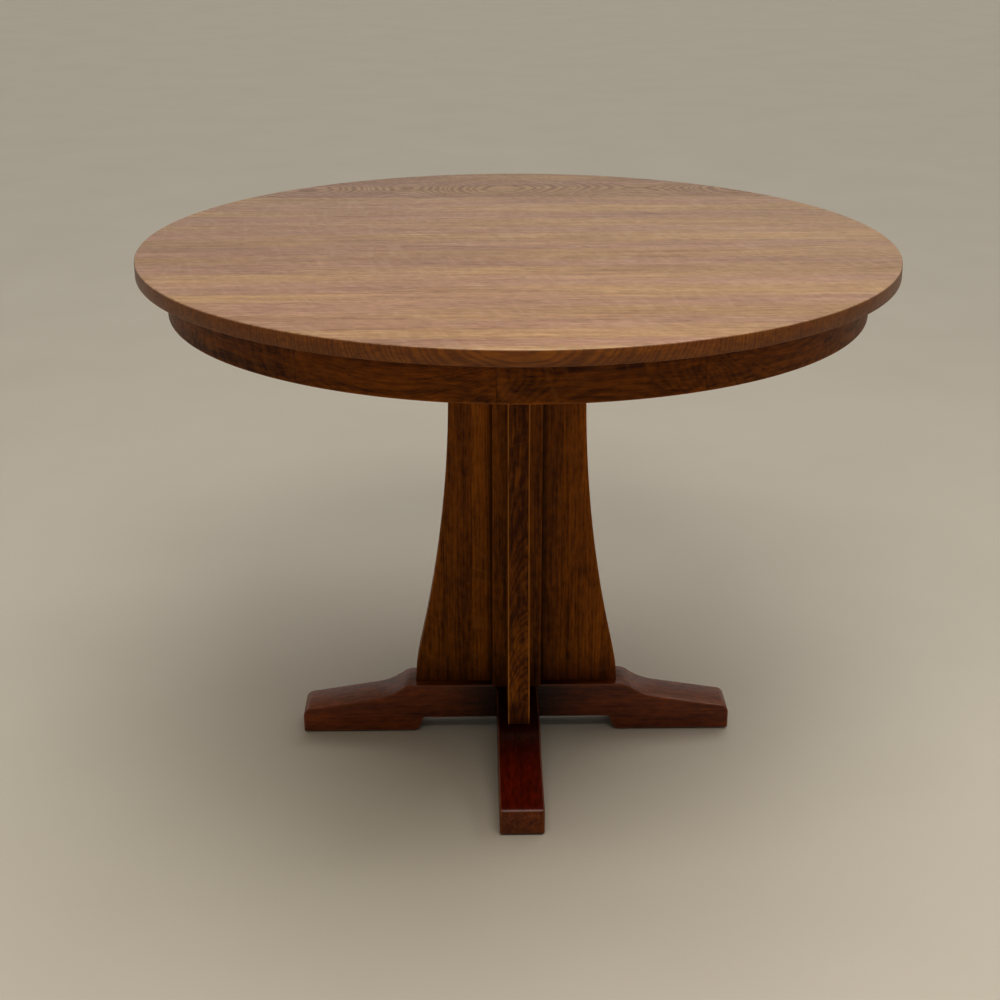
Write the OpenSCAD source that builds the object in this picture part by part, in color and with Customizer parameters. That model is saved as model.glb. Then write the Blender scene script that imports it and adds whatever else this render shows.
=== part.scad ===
// Round pedestal table: a solid top and apron on a square post with four wings, standing on two
// crossed foot beams. The origin is on the floor, under the middle of the post. +X is the right-hand
// side, -Y the front. The grain of the top runs along X.

/* [Top] */
// Diameter of the round top
top_diameter = 1067; // [1040:1:1120]
// Thickness of the top
top_thickness = 21; // [19:0.5:30]
// Height of the top's upper face above the floor
table_height = 766; // [740:1:790]
// Number of boards glued up into the top, the front and back ones included
board_count = 10; // [8:1:11]
// Width of the narrow board at the front edge
front_board_width = 47; // [40:1:60]
// Width of the wide board at the back edge
back_board_width = 204; // [180:1:230]
// Size of the bevels that ease the edges round the top
top_easing = 1.5; // [1:0.5:3]

/* [Apron] */
// Distance from the top's rim in to the apron's outer face
apron_setback = 41; // [35:1:50]
// Height of the apron below the top
apron_height = 58; // [50:1:80]
// Thickness of the apron
apron_thickness = 20; // [18:1:24]
// Number of curved segments in the apron
segment_count = 12; // [8:1:12]
// Direction of the first joint between segments, in degrees from +X
first_joint_angle = 25.5; // [10:0.5:26]
// Size of the bevel that eases the apron's lower outer edge
apron_easing = 1.5; // [1:0.5:3]

/* [Post and wings] */
// Side of the square centre post
post_side = 74; // [70:1:80]
// Thickness of each wing
wing_thickness = 32; // [28:1:38]
// Reach of a wing from the post's axis at its narrow upper part
wing_waist_reach = 101; // [98:1:110]
// Reach of a wing from the post's axis where it stands on the foot beam
wing_foot_reach = 156; // [145:1:158]
// Reach of the glue line between a wing's two boards
wing_joint_reach = 68; // [66:1:70]
// Height above the floor where the hollow in a wing's edge begins
wing_hollow_top = 560; // [500:5:600]
// Radius of the hollow in a wing's edge
wing_hollow_radius = 1892; // [1700:1:2000]

/* [Foot beams] */
// Width of each foot beam
foot_width = 63; // [58:1:70]
// Height of the foot beams under the post and wings
foot_height = 80; // [76:1:86]
// Reach of the toes from the post's axis
toe_reach = 331; // [320:1:360]
// Reach of the level part that the wings stand on
foot_level_reach = 159; // [159:1:170]
// Height that the toe's sloping top would have at its tip, before rounding
toe_height = 39; // [36:1:44]
// Slope of the toe's top, in degrees
toe_slope = 9; // [7:0.5:11]
// Radius of the toe's rounded tip
toe_round = 13; // [8:1:15]
// Radius of the round that the level part ends in
crest_radius = 30; // [24:1:34]
// Radius of the hollow between the round and the toe's slope
cove_radius = 90; // [80:1:100]
// Height of the arch under each foot beam
arch_height = 24; // [22:1:26]
// Reach of the arch at the floor
arch_reach = 156; // [150:1:160]
// Reach that the arch's sloping ends cover
arch_end_run = 12; // [8:1:16]

/* [Cleats] */
// Width of each cleat
cleat_width = 60; // [56:1:70]
// Height of each cleat
cleat_height = 40; // [38:1:45]
// Reach of the cleats from the post's axis
cleat_reach = 440; // [430:1:445]
// Height of the cleats' thinned ends
cleat_end_height = 20; // [15:1:30]
// Length of the cleats' thinned ends
cleat_end_run = 50; // [30:1:60]

/* [Hidden] */
$fn = 180;
// Extra length that makes a cut run clean through a face
over = 1;
// Radial room round a screw, nut or rod in its hole
fit_room = 0.05;

// Levels above the floor
glide_thickness = 2;
top_underside = table_height - top_thickness;
cleat_underside = top_underside - cleat_height;
foot_lap_level = (arch_height + foot_height) / 2;
cleat_lap_level = (top_underside + cleat_underside) / 2;

// Top boards
top_radius = top_diameter / 2;
board_width = (top_diameter - front_board_width - back_board_width) / (board_count - 2);

// Apron
apron_outer_radius = top_radius - apron_setback;
apron_inner_radius = apron_outer_radius - apron_thickness;
segment_angle = 360 / segment_count;

// Foot beam outline: the cove's circle touches the crest's circle and the toe's sloping line
crest_centre = [foot_level_reach, foot_height - crest_radius];
circle_gap = crest_radius + cove_radius;
slope_rise = tan(toe_slope);
cove_line_rise = toe_height + toe_reach * slope_rise + cove_radius / cos(toe_slope) - crest_centre.y;
cove_half_sum = crest_centre.x + slope_rise * cove_line_rise;
cove_root = sqrt(
    cove_half_sum ^ 2 - (1 + slope_rise ^ 2) * (crest_centre.x ^ 2 + cove_line_rise ^ 2 - circle_gap ^ 2)
);
cove_x = (cove_half_sum + cove_root) / (1 + slope_rise ^ 2);
cove_centre = [cove_x, crest_centre.y + cove_line_rise - slope_rise * cove_x];
crest_turn = asin((cove_centre.x - crest_centre.x) / circle_gap);
toe_centre = [
    toe_reach - toe_round,
    toe_height + toe_round * slope_rise - toe_round / cos(toe_slope)
];

// Points along an arc, and an outline mirrored about X = 0 and run backwards
arc_steps = 12;
function arc(centre, radius, from, to) = [
    for (i = [0:arc_steps])
        let (angle = from + (to - from) * i / arc_steps)
            centre + radius * [cos(angle), sin(angle)]
];
function mirrored(outline) = [for (i = [len(outline) - 1:-1:0]) [-outline[i].x, outline[i].y]];

// Splines between the post and the wings
spline_thickness = 8;
spline_depth = 12;
spline_bottom = 120;
spline_top = cleat_underside - 40;

// Dowels at both ends of each wing
dowel_radius = 5;
dowel_length = 50;
dowel_reach = 52;

// Tie rod through the post, with a washer and a nut sunk in at each end
rod_radius = 6;
rod_bore_radius = 6.5;
rod_washer_radius = 12;
rod_washer_thickness = 2.5;
rod_nut_width = 18;
rod_nut_height = 10;
rod_sink_radius = 16;
rod_sink_depth = 14;
rod_end_gap = 1;
rod_bottom = arch_height + rod_end_gap;
rod_top = top_underside - rod_end_gap;
lower_washer_level = arch_height + rod_sink_depth - rod_washer_thickness;
upper_washer_level = top_underside - rod_sink_depth;

// Lag screws at both ends of each wing
lag_radius = 4;
lag_length = 100;
lag_head_width = 13;
lag_head_height = 5;
lag_washer_radius = 10;
lag_washer_thickness = 2;
lag_sink_radius = 12;
lag_sink_depth = 9;
foot_lag_reach = 110;
cleat_lag_reach = 84;

// Screws from the cleats up into the top
cleat_screw_reaches = [155, 360];
cleat_screw_radius = 2.5;
cleat_screw_length = 40;
cleat_screw_head_radius = 5;
cleat_screw_head_height = 4;
cleat_screw_sink_radius = 7;
cleat_screw_sink_depth = 12;
// Travel that the slots give the top as it swells and shrinks across the grain
slot_travel = 4;

// Glue blocks inside the apron, and the screws in them
block_count = 8;
block_first_angle = 22.5;
block_length = 60;
block_depth = 36;
block_height = 34;
block_screw_offset = 18;
block_screw_inset = 22;
block_screw_drop = 23;
block_screw_radius = 2;
block_screw_length = 38;
block_screw_head_radius = 4;
block_screw_head_height = 2.5;
block_screw_sink_depth = 5;
block_screw_sink_radius = 5;

// Glides under the toes
glide_radius = 14;
glide_reach = 296;
nail_radius = 1.25;
nail_head_radius = 3;
nail_head_height = 0.8;
nail_head_level = 0.6;
nail_top = 16;

QUARTERS = [0, 90, 180, 270];
WINGS = ["right", "back", "left", "front"];

// ---- Shared shapes ----

// Plain screw pointing up, its head under z = 0
module screw(radius, length, head_radius, head_height) {
    cylinder(r = radius, h = length);
    translate([0, 0, -head_height]) cylinder(r = head_radius, h = head_height);
}

// Hexagonal prism measured across its flats
module hexagon(width, height) {
    cylinder(d = width / cos(30), h = height, $fn = 6);
}

// Round hole, lengthened along Y where a screw has to travel
module slot(radius, travel, height) {
    if (travel > 0) {
        for (y = [-travel, travel]) translate([0, y, 0]) cylinder(r = radius, h = height);
        translate([-radius, -travel, 0]) cube([2 * radius, 2 * travel, height]);
    } else {
        cylinder(r = radius, h = height);
    }
}

// Stands a flat outline, drawn as reach and height, up across the X axis at the given thickness
module stand_up(thickness) {
    translate([0, thickness / 2, 0]) rotate([90, 0, 0]) linear_extrude(thickness) children();
}

// ---- Places ----

module at_block(i) {
    rotate([0, 0, block_first_angle + i * 360 / block_count])
        translate([apron_inner_radius, 0, top_underside]) children();
}

module at_block_top_screw(i) {
    at_block(i)
        translate([-block_screw_inset, block_screw_offset, block_screw_sink_depth - block_height])
            children();
}

module at_block_side_screw(i) {
    at_block(i)
        translate([block_screw_sink_depth - block_depth, -block_screw_offset, -block_screw_drop])
            rotate([0, 90, 0]) children();
}

module at_cleat_screws(turn) {
    rotate([0, 0, turn])
        for (side = [-1, 1], reach = cleat_screw_reaches)
            translate([side * reach, 0, cleat_underside + cleat_screw_sink_depth]) children();
}

module at_foot_lag(turn) {
    rotate([0, 0, turn]) translate([foot_lag_reach, 0, arch_height + lag_sink_depth]) children();
}

module at_cleat_lag(turn) {
    rotate([0, 0, turn])
        translate([cleat_lag_reach, 0, top_underside - lag_sink_depth]) mirror([0, 0, 1]) children();
}

// ---- Cuts that the fasteners make ----

module block_screw_pilots() {
    for (i = [0:block_count - 1]) {
        at_block_top_screw(i) cylinder(r = block_screw_radius + fit_room, h = block_screw_length + over);
        at_block_side_screw(i) cylinder(r = block_screw_radius + fit_room, h = block_screw_length + over);
    }
}

module cleat_screw_pilots() {
    for (turn = [0, 90])
        at_cleat_screws(turn)
            cylinder(r = cleat_screw_radius + fit_room, h = cleat_screw_length + over);
}

module lag_pilots() {
    for (turn = QUARTERS) {
        at_foot_lag(turn) cylinder(r = lag_radius + fit_room, h = lag_length + over);
        at_cleat_lag(turn) cylinder(r = lag_radius + fit_room, h = lag_length + over);
    }
}

module dowel_set(extra) {
    for (turn = QUARTERS, level = [foot_height, cleat_underside])
        rotate([0, 0, turn]) translate([dowel_reach, 0, level - dowel_length / 2 - extra])
            cylinder(r = dowel_radius, h = dowel_length + 2 * extra);
}

module spline_set(extra) {
    for (turn = QUARTERS)
        rotate([0, 0, turn])
            translate([
                post_side / 2 - spline_depth - extra, -spline_thickness / 2, spline_bottom - extra
            ])
                cube([
                    2 * (spline_depth + extra), spline_thickness, spline_top - spline_bottom + 2 * extra
                ]);
}

// ---- Top ----

module top_disc() {
    rotate_extrude() polygon([
        [0, 0],
        [top_radius - top_easing, 0],
        [top_radius, top_easing],
        [top_radius, top_thickness - top_easing],
        [top_radius - top_easing, top_thickness],
        [0, top_thickness]
    ]);
}

module top_board(i) {
    seam = front_board_width - top_radius + (i - 1) * board_width;
    front_edge = i == 1 ? -top_radius - over : seam - board_width;
    back_edge = i == board_count ? top_radius + over : seam;
    color("peru") difference() {
        intersection() {
            translate([0, 0, top_underside]) top_disc();
            translate([-top_radius - over, front_edge, top_underside - over])
                cube([2 * (top_radius + over), back_edge - front_edge, top_thickness + 2 * over]);
        }
        cleat_screw_pilots();
        block_screw_pilots();
    }
}

// ---- Apron ----

module apron_segment(i) {
    color("saddlebrown") difference() {
        translate([0, 0, top_underside - apron_height])
            rotate([0, 0, first_joint_angle + (i - 1) * segment_angle])
                rotate_extrude(angle = segment_angle) polygon([
                    [apron_inner_radius, 0],
                    [apron_outer_radius - apron_easing, 0],
                    [apron_outer_radius, apron_easing],
                    [apron_outer_radius, apron_height],
                    [apron_inner_radius, apron_height]
                ]);
        block_screw_pilots();
    }
}

module glue_block(i) {
    color("burlywood") difference() {
        intersection() {
            at_block(i - 1)
                translate([-block_depth, -block_length / 2, -block_height])
                    cube([block_depth + over, block_length, block_height]);
            cylinder(r = apron_inner_radius, h = table_height);
        }
        block_screw_pilots();
        at_block_top_screw(i - 1) translate([0, 0, -block_screw_sink_depth - over])
            cylinder(r = block_screw_sink_radius, h = block_screw_sink_depth + over);
        at_block_side_screw(i - 1) translate([0, 0, -block_screw_sink_depth - over])
            cylinder(r = block_screw_sink_radius, h = block_screw_sink_depth + over);
    }
}

module block_screws() {
    color("silver") for (i = [0:block_count - 1]) {
        at_block_top_screw(i)
            screw(block_screw_radius, block_screw_length, block_screw_head_radius, block_screw_head_height);
        at_block_side_screw(i)
            screw(block_screw_radius, block_screw_length, block_screw_head_radius, block_screw_head_height);
    }
}

// ---- Post and wings ----

module centre_post() {
    color("sienna") difference() {
        translate([-post_side / 2, -post_side / 2, foot_height])
            cube([post_side, post_side, cleat_underside - foot_height]);
        translate([0, 0, foot_height - over])
            cylinder(r = rod_bore_radius, h = cleat_underside - foot_height + 2 * over);
        spline_set(0);
    }
}

// Side view of a wing: straight at the top, a long hollow, and a short upright at the foot
module wing_outline() {
    difference() {
        translate([post_side / 2, foot_height])
            square([wing_foot_reach - post_side / 2, cleat_underside - foot_height]);
        translate([wing_waist_reach + wing_hollow_radius, wing_hollow_top])
            circle(wing_hollow_radius, $fn = 1440);
        translate([wing_waist_reach, wing_hollow_top])
            square([wing_foot_reach, cleat_underside - wing_hollow_top + over]);
    }
}

// The part of a wing between two reaches, bored for what joins it to its neighbours
module wing_board(turn, inner_reach, outer_reach) {
    color("sienna") difference() {
        rotate([0, 0, turn]) stand_up(wing_thickness) intersection() {
            wing_outline();
            translate([inner_reach, 0]) square([outer_reach - inner_reach, table_height]);
        }
        spline_set(0);
        dowel_set(0);
        lag_pilots();
    }
}

module wing_inner_board(turn) {
    wing_board(turn, post_side / 2, wing_joint_reach);
}

module wing_outer_board(turn) {
    wing_board(turn, wing_joint_reach, wing_foot_reach);
}

module wing_spline(turn) {
    color("burlywood") rotate([0, 0, turn])
        translate([post_side / 2 - spline_depth, -spline_thickness / 2, spline_bottom])
            cube([2 * spline_depth, spline_thickness, spline_top - spline_bottom]);
}

module wing_dowels() {
    color("burlywood") dowel_set(0);
}

// ---- Foot beams ----

// Outline of one half of a foot beam, from the bottom of the toe up and in to the middle
half_foot_outline = concat(
    [[toe_reach, glide_thickness]],
    arc(toe_centre, toe_round, 0, 90 - toe_slope),
    arc(cove_centre, cove_radius, 270 - toe_slope, 270 - crest_turn),
    arc(crest_centre, crest_radius, 90 - crest_turn, 90)
);

// Whole foot beam along X, before the half lap is cut
module foot_beam_blank() {
    arch_flat_reach = arch_reach - arch_end_run;
    stand_up(foot_width) polygon(concat(
        half_foot_outline,
        mirrored(half_foot_outline),
        [
            [-arch_reach, glide_thickness],
            [-arch_flat_reach, arch_height],
            [arch_flat_reach, arch_height],
            [arch_reach, glide_thickness]
        ]
    ));
}

// Foot beam turned to its direction, with the half lap removed between two levels
module foot_beam(turn, lap_bottom, lap_top) {
    color("chocolate") difference() {
        rotate([0, 0, turn]) foot_beam_blank();
        rotate([0, 0, turn]) translate([-foot_width / 2, -foot_width, lap_bottom])
            cube([foot_width, 2 * foot_width, lap_top - lap_bottom]);
        cylinder(r = rod_bore_radius, h = foot_height + over);
        cylinder(r = rod_sink_radius, h = arch_height + rod_sink_depth);
        for (quarter = QUARTERS)
            at_foot_lag(quarter) mirror([0, 0, 1])
                cylinder(r = lag_sink_radius, h = lag_sink_depth + over);
        lag_pilots();
        dowel_set(0);
        glide_nail_set(fit_room);
    }
}

module side_foot_beam() {
    foot_beam(0, foot_lap_level, foot_height + over);
}

module front_foot_beam() {
    foot_beam(90, 0, foot_lap_level);
}

// ---- Cleats ----

module cleat_outline() {
    inner_reach = cleat_reach - cleat_end_run;
    end_level = top_underside - cleat_end_height;
    polygon([
        [-cleat_reach, top_underside],
        [cleat_reach, top_underside],
        [cleat_reach, end_level],
        [inner_reach, cleat_underside],
        [-inner_reach, cleat_underside],
        [-cleat_reach, end_level]
    ]);
}

// Cleat turned to its direction, with the half lap removed between two levels
module cleat(turn, lap_bottom, lap_top, screw_travel) {
    color("burlywood") difference() {
        rotate([0, 0, turn]) stand_up(cleat_width) cleat_outline();
        rotate([0, 0, turn]) translate([-cleat_width / 2, -cleat_width, lap_bottom])
            cube([cleat_width, 2 * cleat_width, lap_top - lap_bottom]);
        translate([0, 0, cleat_underside - over]) cylinder(r = rod_bore_radius, h = cleat_height + 2 * over);
        translate([0, 0, top_underside - rod_sink_depth])
            cylinder(r = rod_sink_radius, h = rod_sink_depth + over);
        for (quarter = QUARTERS)
            at_cleat_lag(quarter) mirror([0, 0, 1])
                cylinder(r = lag_sink_radius, h = lag_sink_depth + over);
        lag_pilots();
        dowel_set(0);
        at_cleat_screws(turn) {
            rotate([0, 0, -turn]) slot(cleat_screw_radius + fit_room, screw_travel, cleat_height);
            mirror([0, 0, 1]) rotate([0, 0, -turn])
                slot(cleat_screw_sink_radius, screw_travel, cleat_screw_sink_depth + over);
        }
    }
}

module side_cleat() {
    cleat(0, cleat_underside - over, cleat_lap_level, 0);
}

module front_cleat() {
    cleat(90, cleat_lap_level, top_underside + over, slot_travel);
}

module cleat_screws() {
    color("silver") for (turn = [0, 90])
        at_cleat_screws(turn)
            screw(
                cleat_screw_radius, cleat_screw_length, cleat_screw_head_radius, cleat_screw_head_height
            );
}

// ---- Tie rod and lag screws ----

module tie_rod() {
    color("silver") translate([0, 0, rod_bottom]) cylinder(r = rod_radius, h = rod_top - rod_bottom);
}

module tie_rod_washers() {
    color("gainsboro") for (level = [lower_washer_level, upper_washer_level])
        translate([0, 0, level]) difference() {
            cylinder(r = rod_washer_radius, h = rod_washer_thickness);
            translate([0, 0, -over]) cylinder(r = rod_bore_radius, h = rod_washer_thickness + 2 * over);
        }
}

module tie_rod_nuts() {
    color("silver")
        for (level = [lower_washer_level - rod_nut_height, upper_washer_level + rod_washer_thickness])
            translate([0, 0, level]) difference() {
                hexagon(rod_nut_width, rod_nut_height);
                translate([0, 0, -over])
                    cylinder(r = rod_radius + fit_room, h = rod_nut_height + 2 * over);
            }
}

// Hexagon-headed screw pointing up, its washer above its head and under z = 0
module lag_screw() {
    translate([0, 0, -lag_washer_thickness]) cylinder(r = lag_radius, h = lag_length + lag_washer_thickness);
    translate([0, 0, -lag_washer_thickness - lag_head_height]) hexagon(lag_head_width, lag_head_height);
}

module lag_screws() {
    color("silver") for (turn = QUARTERS) {
        at_foot_lag(turn) lag_screw();
        at_cleat_lag(turn) lag_screw();
    }
}

module lag_washer() {
    translate([0, 0, -lag_washer_thickness]) difference() {
        cylinder(r = lag_washer_radius, h = lag_washer_thickness);
        translate([0, 0, -over])
            cylinder(r = lag_radius + fit_room, h = lag_washer_thickness + 2 * over);
    }
}

module lag_washers() {
    color("gainsboro") for (turn = QUARTERS) {
        at_foot_lag(turn) lag_washer();
        at_cleat_lag(turn) lag_washer();
    }
}

// ---- Glides ----

// A nail up through each glide into the toe, with the given room round it
module glide_nail_set(room) {
    for (turn = QUARTERS) rotate([0, 0, turn]) translate([glide_reach, 0, nail_head_level]) {
        cylinder(r = nail_head_radius + room, h = nail_head_height + room);
        cylinder(r = nail_radius + room, h = nail_top - nail_head_level);
    }
}

module glide_nails() {
    color("silver") glide_nail_set(0);
}

module glide_pads() {
    color("dimgray") difference() {
        for (turn = QUARTERS) rotate([0, 0, turn]) translate([glide_reach, 0, 0])
            cylinder(r = glide_radius, h = glide_thickness);
        glide_nail_set(fit_room);
        for (turn = QUARTERS) rotate([0, 0, turn]) translate([glide_reach, 0, -over])
            cylinder(r = nail_head_radius + fit_room, h = nail_head_level + over + fit_room);
    }
}

// ---- Assembly ----

for (i = [1:board_count]) top_board(i);
for (i = [1:segment_count]) apron_segment(i);
for (i = [1:block_count]) glue_block(i);
centre_post();
for (i = [0:3]) {
    wing_inner_board(QUARTERS[i]);
    wing_outer_board(QUARTERS[i]);
    wing_spline(QUARTERS[i]);
}
side_foot_beam();
front_foot_beam();
side_cleat();
front_cleat();
wing_dowels();
tie_rod();
tie_rod_washers();
tie_rod_nuts();
lag_screws();
lag_washers();
cleat_screws();
block_screws();
glide_pads();
glide_nails();
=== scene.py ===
import math
import random

import bmesh
import bpy
from mathutils import Matrix, Vector


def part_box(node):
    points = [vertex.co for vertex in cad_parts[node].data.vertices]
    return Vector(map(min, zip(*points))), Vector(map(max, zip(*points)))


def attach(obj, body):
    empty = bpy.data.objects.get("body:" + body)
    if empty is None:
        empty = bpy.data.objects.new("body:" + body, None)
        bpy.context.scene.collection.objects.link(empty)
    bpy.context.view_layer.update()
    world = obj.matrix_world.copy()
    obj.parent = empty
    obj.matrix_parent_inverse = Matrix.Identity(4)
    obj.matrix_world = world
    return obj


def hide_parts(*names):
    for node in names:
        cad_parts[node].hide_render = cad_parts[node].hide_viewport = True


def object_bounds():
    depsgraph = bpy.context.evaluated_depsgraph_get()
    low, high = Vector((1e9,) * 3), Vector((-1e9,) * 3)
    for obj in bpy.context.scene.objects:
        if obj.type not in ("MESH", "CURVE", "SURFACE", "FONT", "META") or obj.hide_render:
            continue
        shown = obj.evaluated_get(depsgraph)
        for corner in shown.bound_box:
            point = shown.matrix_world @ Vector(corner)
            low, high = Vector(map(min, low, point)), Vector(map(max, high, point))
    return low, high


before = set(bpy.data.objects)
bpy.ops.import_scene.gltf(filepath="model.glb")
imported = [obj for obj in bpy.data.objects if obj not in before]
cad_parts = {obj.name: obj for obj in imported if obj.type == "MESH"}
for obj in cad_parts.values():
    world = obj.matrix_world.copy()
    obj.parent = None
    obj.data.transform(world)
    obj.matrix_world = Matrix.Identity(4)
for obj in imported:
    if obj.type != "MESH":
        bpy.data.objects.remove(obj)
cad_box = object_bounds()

MM = 0.001

# ---- Sizes that the frame gives ----

BOARDS = sorted((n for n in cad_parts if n.startswith("top_board_")), key=lambda n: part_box(n)[0].y)
SEGMENTS = sorted(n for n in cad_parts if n.startswith("apron_segment_"))
SIDES = {"right": 0, "back": 90, "left": 180, "front": 270}

top_low, top_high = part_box("top_board_6")
TOP_UNDERSIDE, TOP_FACE = top_low.z, top_high.z
TOP_RADIUS = min(abs(reach) for corner in cad_box for reach in corner.xy)
FOOT_LOW, FOOT_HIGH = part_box("side_foot_beam")
POST_LOW, POST_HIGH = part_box("centre_post")
INNER_LOW, INNER_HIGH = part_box("right_wing_inner_board")
OUTER_LOW, OUTER_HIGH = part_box("right_wing_outer_board")
APRON_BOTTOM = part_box(SEGMENTS[0])[0].z

# ---- Sizes, tones, wear, painted shade and painted highlights of the details ----

# A tone is added to the light stain's share, and the edge wear and highlight, fleck and rings values are
# shares too.
# The painted shade at the foot of a piece and near the post is given by the distances over which it fades
# out.

TOP_EASING = 2.2 * MM
TOP_UNDER_EASING = 0.8 * MM
FAR_BOARD_HEART = (0.0, -0.026, -0.25)
FAR_BOARD_TONE = -0.04
FAR_BOARD_RINGS = 0.40
FAR_BOARD_SWAY = 11 * MM
# The top's upper eased edges are painted pale, partly as wear and partly as painted highlight.
TOP_EDGE_WEAR_AND_HIGHLIGHT = 0.08
APRON_OUTER = 492.5 * MM
APRON_THICKNESS = 20 * MM
APRON_EASING = 2 * MM
FIRST_JOINT = 25.5
SEGMENT_ANGLE = 360 / len(SEGMENTS)
APRON_TONE = -0.08
APRON_TONES = {6: -0.20, 7: -0.14, 8: 0.05, 9: 0.02, 10: -0.03}
JOINT_LINE = 0.25 * MM
WIDEST_LINE = 0.45 * MM
WIDEST_EASING = 1.3 * MM
SHARP_ANGLE = math.radians(32)
POST_EASING = 2.5 * MM
POST_HEART = (0.0, 0.02, -0.09)
POST_TONE = -0.12
# Painted shade darkens the post and the wings towards their feet over these heights.
POST_LOW_SHADE = 90 * MM
WING_EASING = 2 * MM
WING_LEVELS = 60
WING_LOW_SHADE = (-5 * MM, 60 * MM)
WING_RINGS = 0.05
# Eased wing edges are painted pale, partly as wear and partly as painted highlight, most on the front wing.
FRONT_WING_EDGE_WEAR_AND_HIGHLIGHT = 0.75
WING_EDGE_WEAR_AND_HIGHLIGHT = 0.04
WAIST_REACH = 101 * MM
HOLLOW_TOP = 560 * MM
HOLLOW_RADIUS = 1892 * MM
HOLLOW_BLEND = 3 * MM
# Painted shade on the wings beside the post fades out over this width.
CORNER_SHADE = 15 * MM
WING_TONES = {
    "front_wing_outer_board": -0.38,
    "left_wing_inner_board": 0.24,
    "right_wing_outer_board": 0.12,
}
WING_FLECK = 0.06
WING_FLECKS = {"left_wing_inner_board": 0.22, "back_wing_inner_board": 0.15}
FOOT_EASING = 2.5 * MM
FOOT_HEART = (0.0, 0.03, -0.05)
FOOT_FLECK = 0.05
FOOT_RINGS = -0.05
# Painted shade on the feet near the post fades out between these distances from the post's axis.
SIDE_FOOT_SHADE = (30 * MM, 130 * MM)
FRONT_FOOT_SHADE = (150 * MM, 250 * MM)
CREST_CENTRE = Vector((159 * MM, 50 * MM))
CREST_RADIUS = 30 * MM
COVE_RADIUS = 90 * MM
TOE_SLOPE = math.radians(9)
TOE_HEIGHT = 39 * MM
TOE_ROUND = 13 * MM
ARCH_TOP_FILLET = 4 * MM
ARCH_FOOT_FILLET = 9 * MM
TOE_FOOT_FILLET = 2.6 * MM
LAP_ROOM = 0.02 * MM
FOOT_LAG_REACH = 110 * MM
LAG_SINK_RADIUS = 12 * MM
LAG_SINK_DEPTH = 9 * MM
ROD_SINK_RADIUS = 16 * MM
ROD_SINK_DEPTH = 14 * MM
ARCH_HEIGHT = 24 * MM
ARCH_TOP_REACH = 144.5 * MM
ARCH_FOOT_REACH = 153 * MM

# First seeds of the random draws
TOP_DRAWS = 100
APRON_DRAWS = 200
WING_DRAWS = 300

FLOOR_RADIUS = 30.0
FLOOR_GAP = 0.2 * MM

# The camera's tilt and turn are in degrees, and its lens in millimetres
CAMERA_PLACE = (-0.0698, -2.3638, 1.3030)
CAMERA_TILT = 68.575
CAMERA_TURN = -1.087
CAMERA_LENS = 60.89
PICTURE_GAMMA = 0.82


# ---- Mesh helpers ----


def arc(centre, radius, start, end, steps):
    """Points of an arc in a plane, from one angle to another in degrees."""
    angles = [math.radians(start + (end - start) * i / steps) for i in range(steps + 1)]
    return [Vector((centre[0] + radius * math.cos(a), centre[1] + radius * math.sin(a))) for a in angles]


def fillet(before, corner, after, radius, steps=6):
    """Points that round the corner of an outline at the given radius."""
    corner = Vector(corner)
    to_before = (Vector(before) - corner).normalized()
    to_after = (Vector(after) - corner).normalized()
    half = to_before.angle(to_after) / 2
    centre = corner + (to_before + to_after).normalized() * (radius / math.sin(half))
    start = corner + to_before * (radius / math.tan(half)) - centre
    end = corner + to_after * (radius / math.tan(half)) - centre
    first = math.atan2(start.y, start.x)
    turn = (math.atan2(end.y, end.x) - first + math.pi) % (2 * math.pi) - math.pi
    return [
        centre + radius * Vector((math.cos(first + turn * i / steps), math.sin(first + turn * i / steps)))
        for i in range(steps + 1)
    ]


def inset(outline, distance):
    """A closed outline, run anticlockwise, moved inwards by a distance."""
    moved = []
    count = len(outline)
    for i, point in enumerate(outline):
        back = (point - outline[i - 1]).normalized()
        ahead = (outline[(i + 1) % count] - point).normalized()
        normal = Vector((-(back.y + ahead.y), back.x + ahead.x)).normalized()
        spread = max(0.5, normal.dot(Vector((-back.y, back.x))))
        moved.append(point + normal * (distance / spread))
    return moved


def easing_steps(radius, steps=4):
    """Distances in from two faces that meet in a rounded edge, from one face to the other."""
    angles = [math.pi / 2 * i / steps for i in range(steps + 1)]
    return [(radius * (1 - math.cos(a)), radius * (1 - math.sin(a))) for a in angles]


def add_mesh(name, points, faces):
    mesh = bpy.data.meshes.new(name)
    mesh.from_pydata([tuple(p) for p in points], [], faces)
    model = bmesh.new()
    model.from_mesh(mesh)
    bmesh.ops.recalc_face_normals(model, faces=model.faces)
    model.to_mesh(mesh)
    model.free()
    mesh.shade_smooth()
    mesh.set_sharp_from_angle(angle=SHARP_ANGLE)
    piece = bpy.data.objects.new(name, mesh)
    bpy.context.collection.objects.link(piece)
    return piece


def shell(rings, closed=False):
    """Points and faces through rings of equal length. Closed joins the last ring to the first."""
    count = len(rings[0])
    faces = []
    for k in range(len(rings) if closed else len(rings) - 1):
        low, high = k * count, (k + 1) % len(rings) * count
        faces += [(low + i, low + (i + 1) % count, high + (i + 1) % count, high + i) for i in range(count)]
    if not closed:
        last = (len(rings) - 1) * count
        faces += [tuple(reversed(range(count))), tuple(range(last, last + count))]
    return [p for ring in rings for p in ring], faces


def loft(name, rings):
    """A closed solid through rings of equal length, with a flat face at each end."""
    return add_mesh(name, *shell(rings))


def copies(name, part, places):
    """One mesh with a copy of a shell at each place."""
    points, faces = [], []
    for place in places:
        start = len(points)
        points += [place @ Vector(p) for p in part[0]]
        faces += [tuple(start + i for i in link) for link in part[1]]
    return add_mesh(name, points, faces)


def circle(radius, height, steps=48):
    return [(p.x, p.y, height) for p in arc((0, 0), radius, 0, 360, steps)[:-1]]


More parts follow.
